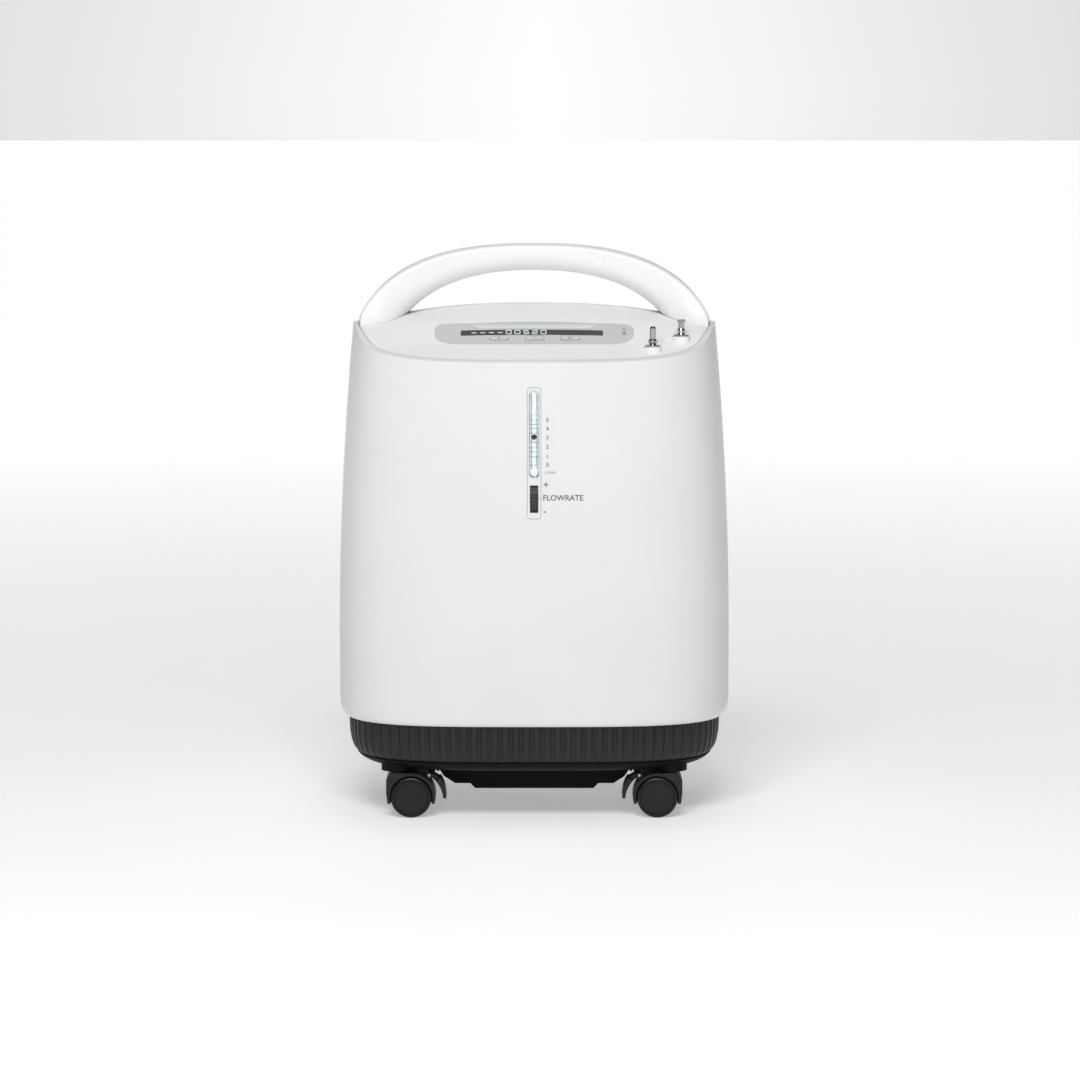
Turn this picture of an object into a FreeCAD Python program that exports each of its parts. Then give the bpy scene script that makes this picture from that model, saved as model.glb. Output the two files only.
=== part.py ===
"""Home oxygen concentrator: a castered cabinet with a carrying handle, a control deck, a flow meter and its gas plant.

Millimetres. +Z is up, -Y is the front, +X is the right-hand side seen from the front.
The origin is on the floor, under the middle of the object.
"""

import FreeCAD, Part
import math
import os

Vector = FreeCAD.Vector
X_AXIS, Y_AXIS, Z_AXIS = Vector(1, 0, 0), Vector(0, 1, 0), Vector(0, 0, 1)

# ---------------------------------------------------------------- driving dimensions
HALF_WIDTH = 195.0  # cabinet, at its widest
HALF_DEPTH = 140.0
PLAN_POWER = 3.5  # how square the cabinet's superellipse plan is
WIDEST_Z = 161.0
BOW_SPAN = 303.0  # height above WIDEST_Z at which the sides lean in by the two bows
SIDE_BOW, FACE_BOW = 13.4, 9.0
SHELL_BOTTOM_Z = 94.0
TUCK_HEIGHT, TUCK_SIDE, TUCK_FACE = 18.0, 8.0, 5.0  # rounded lower edge of the cabinet
SHELL_TOP_Z = 530.0  # lofts run up to here before the deck surface trims them
WALL = 4.8
GAP = 0.5  # parting gap between mouldings
SEAM_Y = 70.0  # front shell meets rear shell here

# deck: height on the centre line at each depth, and how much the surface falls towards the sides
DECK_PROFILE = [(-160, 437), (-128, 452.6), (-112, 460.3), (-98, 467.4), (-84, 477), (-70, 486),
                (-54, 492), (-34, 496.8), (-4, 500.2), (32, 500.2), (62, 498), (100, 492), (160, 478)]
DECK_CROWN_BACK, DECK_CROWN_FRONT = 21.0, 4.0
CROWN_HALF_WIDTH, CROWN_POWER = 180.0, 2.4
COVER_THICKNESS = 3.0
COVER_FLANGE = 14.0

# handle: an arch between two superellipses centred on the height ARCH_Z
ARCH_Z = 440.0
ARCH_OUTER = (182.0, 120.6, 2.45)  # half width, height, power
ARCH_INNER = (144.0, 94.4, 2.25)
GRIP_HALF_DEPTH, FOOT_HALF_DEPTH = 22.0, 55.0
HANDLE_WALL = 3.5

# base
SKIRT_TOP_Z, SKIRT_BOTTOM_Z = 93.5, 57.0
SKIRT_LIP_Z = 104.0
RIB_COUNT, RIB_DEPTH = 108, 1.8
PAN_BOTTOM_Z, BOSS_BOTTOM_Z = 48.0, 45.5
BELLY_BOTTOM_Z = 20.0

# casters
STEM_X, STEM_Y = 136.0, 95.0
TRAIL = 14.6
WHEEL_RADIUS, WHEEL_WIDTH = 20.0, 12.0
WEB_HALF = 6.0  # half thickness of the hood between the twin wheels
HOOD_OUTER, HOOD_INNER, HOOD_HALF = 24.0, 21.2, 16.0
AXLE_RADIUS, STEM_RADIUS = 3.0, 4.0
RUNNING = 0.05  # radial clearance of a running fit

# flow meter, on the front face's centre line
METER_HALF_WIDTH = 6.7
METER_BOTTOM_Z, METER_TOP_Z = 299.0, 426.5
TUBE_BOTTOM_Z, TUBE_TOP_Z, TUBE_HALF = 338.0, 424.0, 4.7
BALL_RADIUS, BALL_Y, BALL_Z = 2.8, -127.0, 378.0
DIAL_RADIUS, DIAL_HALF, DIAL_Y, DIAL_Z = 19.0, 3.5, -120.8, 318.3

# intake filter on the left-hand side
DOOR_Y = (-55.0, 45.0)
DOOR_Z = (148.0, 300.0)
DOOR_CORNER = 12.0
SCOOP_RADIUS, SCOOP_DEPTH = 20.0, 3.4

# power inlet recess on the back
RECESS_X, RECESS_Z, RECESS_FLOOR_Y = (60.0, 130.0), (112.0, 158.0), 121.0
INLET_X, BREAKER_X, INLET_Z = 82.0, 115.0, 135.0

PARTS = {}


# ---------------------------------------------------------------- small helpers
def box(x0, x1, y0, y1, z0, z1):
    return Part.makeBox(x1 - x0, y1 - y0, z1 - z0, Vector(x0, y0, z0))


def rod(radius, start, direction, length):
    return Part.makeCylinder(radius, length, Vector(*start), direction)


def tube(outer, inner, start, direction, length):
    return rod(outer, start, direction, length).cut(rod(inner, start, direction, length))


def fuse(shapes):
    first, rest = shapes[0], list(shapes[1:])
    return first.multiFuse(rest).removeSplitter() if rest else first


def cut(shape, tools):
    for tool in tools:
        shape = shape.cut(tool)
    return shape


def mirror_x(shape):
    return shape.mirror(Vector(0, 0, 0), X_AXIS)


def rounded_outline(u0, u1, v0, v1, radius, place):
    """Face of a rounded rectangle; place(u, v) puts a point of it in space."""
    k = radius * (1 - math.sqrt(0.5))
    def line(a, b):
        return Part.LineSegment(place(*a), place(*b)).toShape()
    def arc(a, m, b):
        return Part.Arc(place(*a), place(*m), place(*b)).toShape()
    edges = [
        line((u0 + radius, v0), (u1 - radius, v0)), arc((u1 - radius, v0), (u1 - k, v0 + k), (u1, v0 + radius)),
        line((u1, v0 + radius), (u1, v1 - radius)), arc((u1, v1 - radius), (u1 - k, v1 - k), (u1 - radius, v1)),
        line((u1 - radius, v1), (u0 + radius, v1)), arc((u0 + radius, v1), (u0 + k, v1 - k), (u0, v1 - radius)),
        line((u0, v1 - radius), (u0, v0 + radius)), arc((u0, v0 + radius), (u0 + k, v0 + k), (u0 + radius, v0)),
    ]
    return Part.Face(Part.Wire(edges))


def rounded_bar_y(x0, x1, z0, z1, radius, y0, y1):
    """Rounded rectangle in the XZ plane, extruded along Y."""
    return rounded_outline(x0, x1, z0, z1, radius, lambda u, v: Vector(u, y0, v)).extrude(Vector(0, y1 - y0, 0))


def rounded_bar_x(y0, y1, z0, z1, radius, x0, x1):
    return rounded_outline(y0, y1, z0, z1, radius, lambda u, v: Vector(x0, u, v)).extrude(Vector(x1 - x0, 0, 0))


def rounded_bar_z(x0, x1, y0, y1, radius, z0, z1):
    return rounded_outline(x0, x1, y0, y1, radius, lambda u, v: Vector(u, v, z0)).extrude(Vector(0, 0, z1 - z0))


def revolve_z(profile, x, y, z):
    """Solid of revolution about a vertical axis from (radius, height) points."""
    points = [Vector(x + r, y, z + h) for r, h in profile]
    face = Part.Face(Part.makePolygon(points + [points[0]]))
    return face.revolve(Vector(x, y, z), Z_AXIS, 360)


def pipe(points, radius, bend):
    """Tube along straight runs joined by tangent arcs of radius bend."""
    p = [Vector(*q) for q in points]
    edges, start = [], p[0]
    for before, corner, after in zip(p, p[1:], p[2:]):
        into, out = (corner - before).normalize(), (after - corner).normalize()
        half_turn = into.getAngle(out) / 2
        back = bend * math.tan(half_turn)
        a, b = corner - into * back, corner + out * back
        middle = corner + (out - into).normalize() * (bend / math.cos(half_turn) - bend)
        edges.append(Part.LineSegment(start, a).toShape())
        edges.append(Part.Arc(a, middle, b).toShape())
        start = b
    edges.append(Part.LineSegment(start, p[-1]).toShape())
    path = Part.Wire(edges)
    ring = Part.Wire(Part.Circle(p[0], (p[1] - p[0]).normalize(), radius).toShape())
    return path.makePipeShell([ring], True, True)


def keep(name, shape):
    """Stores one sub-part: the solids of shape, each a separate piece."""
    solids = shape.Solids if hasattr(shape, "Solids") else [s for one in shape for s in one.Solids]
    PARTS[name] = solids[0] if len(solids) == 1 else Part.makeCompound(solids)
    return PARTS[name]


# ---------------------------------------------------------------- the cabinet's curved envelope
def superellipse(half_x, half_y, z, power=PLAN_POWER, count=56):
    """Closed smooth wire |x/a|^n + |y/b|^n = 1 at the height z."""
    points = []
    for i in range(count):
        angle = 2 * math.pi * (i + 0.5) / count
        c, s = math.cos(angle), math.sin(angle)
        r = (abs(c / half_x) ** power + abs(s / half_y) ** power) ** (-1 / power)
        points.append(Vector(r * c, r * s, z))
    curve = Part.BSplineCurve()
    curve.interpolate(Points=points, PeriodicFlag=True)
    return Part.Wire(curve.toShape())


def loft(wires):
    return Part.makeLoft(wires, True, False)


def cabinet_halves(z):
    """Half width and half depth of the cabinet's outer face at the height z."""
    lean = (max(z - WIDEST_Z, 0) / BOW_SPAN) ** 2
    share = max(0.0, (SHELL_BOTTOM_Z + TUCK_HEIGHT - z) / TUCK_HEIGHT)
    tuck = 1 - math.sqrt(max(0.0, 1 - min(share, 1.0) ** 2))
    return (HALF_WIDTH - SIDE_BOW * lean - TUCK_SIDE * tuck, HALF_DEPTH - FACE_BOW * lean - TUCK_FACE * tuck)


def cabinet(inset, bottom=SHELL_BOTTOM_Z, top=SHELL_TOP_Z):
    """Solid of the cabinet's envelope, drawn in from the outer face by inset."""
    def wire(z):
        a, b = cabinet_halves(z)
        return superellipse(a - inset, b - inset, z)
    tuck_top = SHELL_BOTTOM_Z + TUCK_HEIGHT
    pieces = []
    if bottom < tuck_top:
        levels = [bottom + (tuck_top - bottom) * k for k in (0, 0.1, 0.25, 0.5, 0.75, 1)]
        pieces.append(loft([wire(z) for z in levels]))
        bottom = tuck_top
    levels = [bottom + (top - bottom) * k / 9 for k in range(10)]
    pieces.append(loft([wire(z) for z in levels]))
    return fuse(pieces)


def deck_height(x, profile_height, y):
    share = min(1.0, max(0.0, (y + 128) / 160))
    crown = DECK_CROWN_FRONT + (DECK_CROWN_BACK - DECK_CROWN_FRONT) * share
    return profile_height - crown * abs(x / CROWN_HALF_WIDTH) ** CROWN_POWER


def deck_profile(y):
    """Centre-line height of the deck: a smooth cubic through the profile points."""
    last = len(DECK_PROFILE) - 1
    i = max(k for k in range(last) if DECK_PROFILE[k][0] <= y)
    (y0, z0), (y1, z1) = DECK_PROFILE[i], DECK_PROFILE[i + 1]
    def slope(k):
        a, b = DECK_PROFILE[max(k - 1, 0)], DECK_PROFILE[min(k + 1, last)]
        return (b[1] - a[1]) / (b[0] - a[0])
    span, t = y1 - y0, (y - y0) / (y1 - y0)
    start, end = slope(i) * span, slope(i + 1) * span
    rise = 3 * t**2 - 2 * t**3
    return z0 + (z1 - z0) * rise + (t**3 - 2 * t**2 + t) * start + (t**3 - t**2) * end


def deck_surface():
    columns = [-224 + 56 * i for i in range(9)]
    rows = [-160 + 16 * j for j in range(21)]
    grid = [[Vector(x, y, deck_height(x, deck_profile(y), y)) for x in columns] for y in rows]
    surface = Part.BSplineSurface()
    surface.interpolate(grid)
    return surface


DECK = deck_surface()


def deck_z(x, y):
    """Height of the deck above the point x, y."""
    probe = Part.LineSegment(Vector(x, y, 400), Vector(x, y, 560)).toShape()
    return DECK.toShape().distToShape(probe)[1][0][0].z


def under_deck(drop=0.0, depth=520.0):
    """Everything between the deck surface lowered by drop and depth below it."""
    face = DECK.toShape()
    face.translate(Vector(0, 0, -drop))
    return face.extrude(Vector(0, 0, -depth))


# ---------------------------------------------------------------- handle
def arch_radius(shape, angle):
    a, b, power = shape
    c, s = math.cos(angle), math.sin(angle)
    return (abs(c / a) ** power + abs(s / b) ** power) ** (-1 / power)


def handle_section(angle, inset):
    """Cross-section of the arch on the ray at angle: a flat outer face and a round underside."""
    outer, inner = arch_radius(ARCH_OUTER, angle) - inset, arch_radius(ARCH_INNER, angle) + inset
    from_top = min(1.0, abs(math.pi / 2 - angle) / math.radians(74))
    half = GRIP_HALF_DEPTH + (FOOT_HALF_DEPTH - GRIP_HALF_DEPTH) * from_top**2.2 - inset
    roundness = 2.2 + 1.3 * from_top
    corner = max(1.0, 4.5 - inset)
    ray = Vector(math.cos(angle), 0, math.sin(angle))
    def at(across, radius):
        return Vector(0, across, ARCH_Z) + ray * radius
    shoulder = outer - corner
    belly = shoulder - inner
    k = corner * (1 - math.sqrt(0.5))
    steps = 14
    under = []
    for i in range(steps + 1):
        t = math.pi * i / steps
        c, s = math.cos(t), math.sin(t)
        across = half * math.copysign(abs(c) ** (2 / roundness), c)
        under.append(at(across, shoulder - belly * s ** (2 / roundness)))
    curve = Part.BSplineCurve()
    curve.interpolate(under)
    edges = [
        Part.LineSegment(at(-half + corner, outer), at(half - corner, outer)).toShape(),
        Part.Arc(at(half - corner, outer), at(half - k, outer - k), at(half, shoulder)).toShape(),
        curve.toShape(),
        Part.Arc(at(-half, shoulder), at(-half + k, outer - k), at(-half + corner, outer)).toShape(),
    ]
    return Part.Wire(edges)


def handle_arch(inset):
    stations = [2, 9, 16, 24, 34, 46, 60, 75, 90, 105, 120, 134, 146, 156, 164, 171, 178]
    return loft([handle_section(math.radians(s), inset) for s in stations])


def make_handle():
    """Two hollow mouldings, split on the plane Y = 0, whose feet reach down inside the cabinet."""
    outer = handle_arch(0).common(cabinet(WALL + GAP, 400, 580))
    cavity = handle_arch(HANDLE_WALL).common(cabinet(WALL + GAP + HANDLE_WALL, 400, 580))
    shell = outer.cut(cavity)
    keep("handle_front", shell.common(box(-200, 200, -90, 0, 400, 600)))
    keep("handle_rear", shell.common(box(-200, 200, 0, 90, 400, 600)))


# ---------------------------------------------------------------- cabinet mouldings
def door_prism(inset, x0, x1):
    (y0, y1), (z0, z1) = DOOR_Y, DOOR_Z
    return rounded_bar_x(y0 + inset, y1 - inset, z0 + inset, z1 - inset, DOOR_CORNER - inset, x0, x1)


def finger_scoop():
    """Rounded hollow for a fingertip, across the lower edge of the filter door."""
    x, z, reach = -(HALF_WIDTH - SCOOP_DEPTH + SCOOP_RADIUS), DOOR_Z[0], 18.0
    y = sum(DOOR_Y) / 2
    ends = [Part.makeSphere(SCOOP_RADIUS, Vector(x, y + side * reach, z)) for side in (-1, 1)]
    return fuse([rod(SCOOP_RADIUS, (x, y - reach, z), Y_AXIS, 2 * reach)] + ends)


def meter_prism(half, bottom, top, corner, y0=-150.0, y1=-100.0):
    return rounded_bar_y(-half, half, bottom, top, corner, y0, y1)


def back_y(x, z):
    """Depth of the cabinet's rear face at x and z."""
    a, b = cabinet_halves(z)
    return b * (1 - abs(x / a) ** PLAN_POWER) ** (1 / PLAN_POWER)


SCREW_SPOTS = [(x, z) for x in (-125.0, 125.0) for z in (180.0, 310.0, 430.0)]
SCREW_SEAT = 3.2  # depth of the screw-head recess


def make_front_shell(wall_ring):
    shell = wall_ring.common(box(-220, 220, -160, SEAM_Y - GAP / 2, 80, 560))
    (y0, y1), z0 = DOOR_Y, DOOR_Z[0]
    pad = box(-200, -184, y0 + 4, y1 - 4, z0 - 15, z0).common(cabinet(1.0, 112, 200))
    shell = shell.fuse(pad)
    shell = cut(shell, [door_prism(0, -220, -150), finger_scoop()])
    shell = shell.cut(meter_prism(METER_HALF_WIDTH, METER_BOTTOM_Z, METER_TOP_Z, 3.0))
    keep("front_shell", shell)


def vent_slots():
    slots = []
    for x in (-38.0, 38.0):
        for row in range(9):
            z = 205.0 + 12.0 * row
            slots.append(rounded_bar_y(x - 28, x + 28, z - 2, z + 2, 1.9, 110, 160))
    return slots


def make_rear_shell(wall_ring):
    shell = wall_ring.common(box(-220, 220, SEAM_Y + GAP / 2, 160, 80, 560))
    (x0, x1), (z0, z1) = RECESS_X, RECESS_Z
    liner = box(x0 - 3, x1 + 3, RECESS_FLOOR_Y - 3, 150, z0 - 3, z1 + 3).common(cabinet(0.5, 100, 200))
    shell = shell.fuse(liner)
    for x, z in SCREW_SPOTS:
        y = back_y(x, z)
        shell = shell.fuse(rod(8.0, (x, y - 14, z), Y_AXIS, 12))
    shell = shell.cut(rounded_bar_y(x0, x1, z0, z1, 5, RECESS_FLOOR_Y, 160))
    for x, z in SCREW_SPOTS:
        y = back_y(x, z)
        shell = cut(shell, [rod(2.1, (x, y - 20, z), Y_AXIS, 30), rod(4.8, (x, y - SCREW_SEAT, z), Y_AXIS, 12)])
    shell = cut(shell, [
        box(INLET_X - 13.8, INLET_X + 13.8, 110, 125, INLET_Z - 10.1, INLET_Z + 10.1),
        rod(8.1, (BREAKER_X, 110, INLET_Z), Y_AXIS, 20),
    ])
    keep("rear_shell", cut(shell, vent_slots()))


def make_filter():
    skin = cabinet(0, 112, 320).cut(cabinet(6.0, 112, 320))
    door = skin.common(door_prism(GAP, -220, -150)).cut(finger_scoop())
    for row in range(8):
        z = 184.0 + 13.0 * row
        door = door.cut(rounded_bar_x(-40, 30, z - 2, z + 2, 1.9, -220, -150))
    keep("filter_door", door)
    keep("foam_filter", box(-184, -170, -48, 38, 157, 291))


def make_intake_silencer():
    """Box with a barred inlet that backs the foam filter, and an outlet snout towards the compressor."""
    body = box(-169.5, -128, -50, 40, 155, 293).cut(box(-167, -131, -47, 37, 158, 290))
    for row in range(10):
        z = 165.0 + 12.6 * row
        body = body.cut(box(-175, -160, -42, 32, z - 3, z + 3))
    body = body.fuse(rod(12, (-128.5, -5, 200), X_AXIS, 9)).cut(rod(9, (-135, -5, 200), X_AXIS, 20))
    keep("intake_silencer", body)


# ---------------------------------------------------------------- deck
PANEL_THICKNESS = 1.5
PANEL_TILT = 34.5  # slope of the deck where the panel lies, degrees
KEY_X, KEY_Y = (-34.3, 0.5, 35.0), -91.5
KEY_HALF_LENGTH, KEY_HALF_WIDTH = 9.4, 3.6
OXYGEN_PORT, NEBULIZER_PORT = (115.6, -103.6), (143.9, -85.0)
PLUG_SPOT = (130.2, -91.0)
PORT_SEAT = 2.0  # height of the ports' seats above the deck
PORT_BOSS = 9.0
LCD_X, LCD_Y = (-72.0, 67.5), (-87.0, -80.2)


def panel_prism(inset):
    """Plan of the control panel: rounded wings, and a dip in its rear edge over the display."""
    def p(x, y):
        return Vector(x, y, 430)
    wing, dip, front, middle = -69.0 - inset, -77.8 - inset, -99.8 + inset, -81.0
    side = 97.5 - inset
    def bezier(*poles):
        curve = Part.BezierCurve()
        curve.setPoles([p(*q) for q in poles])
        return curve.toShape()
    def line(a, b):
        return Part.LineSegment(p(*a), p(*b)).toShape()
    edges = [
        bezier((-side, middle), (-side, wing - 2), (-93, wing), (-88, wing)),
        line((-88, wing), (-71, wing)),
        bezier((-71, wing), (-60, wing), (-60, dip), (-48, dip)),
        line((-48, dip), (48, dip)),
        bezier((48, dip), (60, dip), (60, wing), (71, wing)),
        line((71, wing), (88, wing)),
        bezier((88, wing), (93, wing), (side, wing - 2), (side, middle)),
        bezier((side, middle), (side, middle - 10), (90, front + 3.4), (78, front + 2)),
        bezier((78, front + 2), (40, front - 0.3), (-40, front - 0.3), (-78, front + 2)),
        bezier((-78, front + 2), (-90, front + 3.4), (-side, middle - 10), (-side, middle)),
    ]
    return Part.Face(Part.Wire(edges)).extrude(Vector(0, 0, 100))


def on_deck(shape, x, y):
    """Tilts a shape so that its +Z is the panel's normal, and stands it on the deck at x, y."""
    shape = shape.copy()
    shape.rotate(Vector(0, 0, 0), X_AXIS, PANEL_TILT)
    shape.translate(Vector(x, y, deck_z(x, y)))
    return shape


def oval(grow, bottom, top):
    a, b = KEY_HALF_LENGTH + grow, KEY_HALF_WIDTH + grow
    return rounded_bar_z(-a, a, -b, b, b - 0.02, bottom, top)


def make_deck():
    cover = cabinet(WALL + GAP, 420, SHELL_TOP_Z).common(under_deck(0).cut(under_deck(COVER_FLANGE)))
    hollow = cabinet(WALL + GAP + COVER_THICKNESS, 420, SHELL_TOP_Z).common(under_deck(COVER_THICKNESS))
    cover = cover.cut(hollow).cut(handle_arch(-GAP))
    for x, y in (OXYGEN_PORT, NEBULIZER_PORT):
        z = deck_z(x, y)
        collar = rod(PORT_BOSS + 1.5, (x, y, z - 7), Z_AXIS, 30).common(under_deck(0))
        collar = collar.fuse(rod(PORT_BOSS, (x, y, z - 7), Z_AXIS, 7 + PORT_SEAT))
        cover = cover.fuse(collar.common(cabinet(WALL + GAP, 420, SHELL_TOP_Z)))
        cover = cover.cut(rod(PORT_BOSS - 0.4, (x, y, z + PORT_SEAT), Z_AXIS, 20))
    cover = cover.cut(panel_prism(0).cut(under_deck(PANEL_THICKNESS)))
    x, y = PLUG_SPOT
    cover = cover.cut(rod(5.0, (x, y, deck_z(x, y) - 1.2), Z_AXIS, 10))
    skin = under_deck(0).cut(under_deck(PANEL_THICKNESS))
    panel = panel_prism(0.2).common(skin)
    window = rounded_bar_z(*LCD_X, *LCD_Y, 1.0, 440, 500)
    panel = panel.cut(window)
    cover = cover.cut(rounded_bar_z(LCD_X[0] + 2, LCD_X[1] - 2, LCD_Y[0] + 1, LCD_Y[1] - 1, 1.0, 440, 500))
    glass = rounded_bar_z(LCD_X[0] + 0.1, LCD_X[1] - 0.1, LCD_Y[0] + 0.1, LCD_Y[1] - 0.1, 1.0, 440, 500)
    keep("lcd_window", glass.common(skin))
    for x, name in zip(KEY_X, ("key_timer_up", "key_timer_down", "key_power")):
        hole = on_deck(oval(0.35, -12, 8), x, KEY_Y)
        panel, cover = panel.cut(hole), cover.cut(hole)
        keep(name, on_deck(oval(0, -6, 0.7).fuse(oval(1.4, -6, -4)), x, KEY_Y))
    for x, y in (OXYGEN_PORT, NEBULIZER_PORT):
        cover = cover.cut(rod(4.1, (x, y, 420), Z_AXIS, 100))
    keep("control_panel", panel)
    keep("top_cover", max(cover.Solids, key=lambda piece: piece.Volume))
    board = box(-92, 92, -8, 16, -11, -9.4)
    display = box(-68, 64, 6.2, 13, -9.4, -4.5)
    switches = [box(x - 3, x + 3, -3, 3, -9.4, -7.2) for x in KEY_X]
    keep("display_board", on_deck(fuse([board, display] + switches), 0.0, KEY_Y))


def make_outlets():
    for name, (x, y), profile in (
        ("oxygen_outlet", OXYGEN_PORT, [
            (1.3, -22), (3, -22), (3, -16), (4, -16), (4, 0), (8, 0), (8, 1.2), (7.4, 1.8), (3.4, 2.2), (3.1, 3.6),
            (4.3, 4.6), (4.3, 5.8), (3.0, 8), (3.0, 18), (2.7, 19.2), (2, 20), (1.3, 20)]),
        ("nebulizer_outlet", NEBULIZER_PORT, [
            (1.3, -22), (3, -22), (3, -16), (4, -16), (4, 0), (8, 0), (8, 1.2), (7.4, 1.8), (3.6, 2.2), (3.2, 3.4),
            (3.2, 5), (3.8, 6.4), (3.1, 8), (3.1, 14), (4.3, 14.8), (4.3, 16), (3.8, 16.6), (1.3, 16.6)]),
    ):
        keep(name, revolve_z(profile, x, y, deck_z(x, y) + PORT_SEAT))


# ---------------------------------------------------------------- flow meter
def make_flow_meter():
    skin = cabinet(-0.6, 290, 440).cut(cabinet(3.0, 290, 440))
    bezel = skin.common(meter_prism(METER_HALF_WIDTH - 0.15, METER_BOTTOM_Z + 0.15, METER_TOP_Z - 0.15, 2.85))
    bezel = bezel.cut(meter_prism(TUBE_HALF, TUBE_BOTTOM_Z, TUBE_TOP_Z, TUBE_HALF - 0.1))
    bezel = bezel.cut(meter_prism(DIAL_HALF + 0.5, DIAL_Z - 13.3, DIAL_Z + 13.3, 0.8))
    bezel = bezel.cut(rod(DIAL_RADIUS + 0.4, (-DIAL_HALF - 0.5, DIAL_Y, DIAL_Z), X_AXIS, 2 * DIAL_HALF + 1))
    keep("flow_bezel", bezel)
    body = meter_prism(TUBE_HALF - 0.1, TUBE_BOTTOM_Z + 0.1, TUBE_TOP_Z - 0.1, TUBE_HALF - 0.3, y1=-121.0)
    body = body.common(cabinet(0.2, 290, 440))
    low, high = TUBE_BOTTOM_Z + 9.0, TUBE_TOP_Z - 4.0
    body = body.cut(rod(BALL_RADIUS + 0.35, (0, BALL_Y, low), Z_AXIS, high - low))
    body = body.fuse(rod(2.5, (0, -121.5, 414), Y_AXIS, 10)).cut(rod(1.2, (0, -127, 414), Y_AXIS, 20))
    keep("flow_tube", body)
    keep("flow_ball", Part.makeSphere(BALL_RADIUS, Vector(0, BALL_Y, BALL_Z)))
    dial = rod(DIAL_RADIUS, (-DIAL_HALF, DIAL_Y, DIAL_Z), X_AXIS, 2 * DIAL_HALF)
    notches = 40
    for i in range(notches):
        angle = 2 * math.pi * i / notches
        y, z = DIAL_Y + (DIAL_RADIUS + 0.35) * math.cos(angle), DIAL_Z + (DIAL_RADIUS + 0.35) * math.sin(angle)
        dial = dial.cut(rod(0.9, (-5, y, z), X_AXIS, 10))
    keep("flow_wheel", dial.fuse(rod(3.0 - RUNNING, (0, DIAL_Y, DIAL_Z), X_AXIS, 30)))
    valve = box(5, 36, -131, -106, 306, 331)
    valve = fuse([valve, box(8, 36, -119, -107, 330, 342), box(-6, 36, -120.9, -107, 341, 356)])
    valve = valve.fuse(rod(3.0, (20, -106.5, DIAL_Z), Y_AXIS, 8))
    keep("flow_valve_body", valve.cut(rod(3.0, (0, DIAL_Y, DIAL_Z), X_AXIS, 31)))


# ---------------------------------------------------------------- base
SKIRT_LEVELS = [(57, 178, 131.5), (62, 181.5, 132.8), (68, 183.7, 133.5), (76, 185.2, 133.9), (93.5, 186, 134)]
PAN_LEVELS = [(48, 157, 118), (49, 163, 122.5), (51, 169.5, 126.5), (54, 175, 129.8), (57, 178, 131.5)]
SKIRT_HOLLOW = [(56, 172, 125.5), (68, 177.5, 127.3), (105, 178.6, 126.6)]
BOSS_RADIUS, BOSS_TOP_Z = 15.0, 78.0
POST_SPOTS = [(x, y) for x in (-75.0, 75.0) for y in (-90.0, 90.0)]
CORNERS = [(x, y) for x in (-STEM_X, STEM_X) for y in (-STEM_Y, STEM_Y)]


def level_loft(levels, inset):
    return loft([superellipse(a - inset, b - inset, z) for z, a, b in levels])


def rib_outline(half_x, half_y, crest, groove):
    """Closed outline of evenly pitched ribs: crests stand proud of the plan curve, grooves lie inside it."""
    steps = 4000
    curve = []
    for i in range(steps + 1):
        angle = 2 * math.pi * i / steps
        c, s = math.cos(angle), math.sin(angle)
        r = (abs(c / half_x) ** PLAN_POWER + abs(s / half_y) ** PLAN_POWER) ** (-1 / PLAN_POWER)
        curve.append((r * c, r * s))
    run = [0.0]
    for (x0, y0), (x1, y1) in zip(curve, curve[1:]):
        run.append(run[-1] + math.hypot(x1 - x0, y1 - y0))
    points, index = [], 0
    offsets = ((0.0, crest), (0.46, crest), (0.54, -groove), (0.92, -groove))
    for rib in range(RIB_COUNT):
        for share, out in offsets:
            goal = run[-1] * (rib + share) / RIB_COUNT
            while run[index + 1] < goal:
                index += 1
            (x0, y0), (x1, y1) = curve[index], curve[index + 1]
            length = math.hypot(x1 - x0, y1 - y0)
            t = (goal - run[index]) / length
            nx, ny = (y1 - y0) / length, -(x1 - x0) / length
            points.append((x0 + (x1 - x0) * t + nx * out, y0 + (y1 - y0) * t + ny * out))
    return points


def make_skirt():
    """Ribbed skirt; a plain lip above it locates inside the cabinet's lower edge."""
    outline = [Vector(x, y, SKIRT_BOTTOM_Z - 1) for x, y in rib_outline(186, 134, 3.0, RIB_DEPTH)]
    prism = Part.Face(Part.makePolygon(outline + [outline[0]])).extrude(Vector(0, 0, 60))
    skirt = level_loft(SKIRT_LEVELS, 0).common(prism)
    lip_x, lip_y = HALF_WIDTH - TUCK_SIDE - WALL - GAP, HALF_DEPTH - TUCK_FACE - WALL - GAP
    lip = loft([superellipse(lip_x, lip_y, z) for z in (SKIRT_TOP_Z - 4, SKIRT_LIP_Z)])
    keep("base_skirt", skirt.fuse(lip).cut(level_loft(SKIRT_HOLLOW, 0)))


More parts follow.
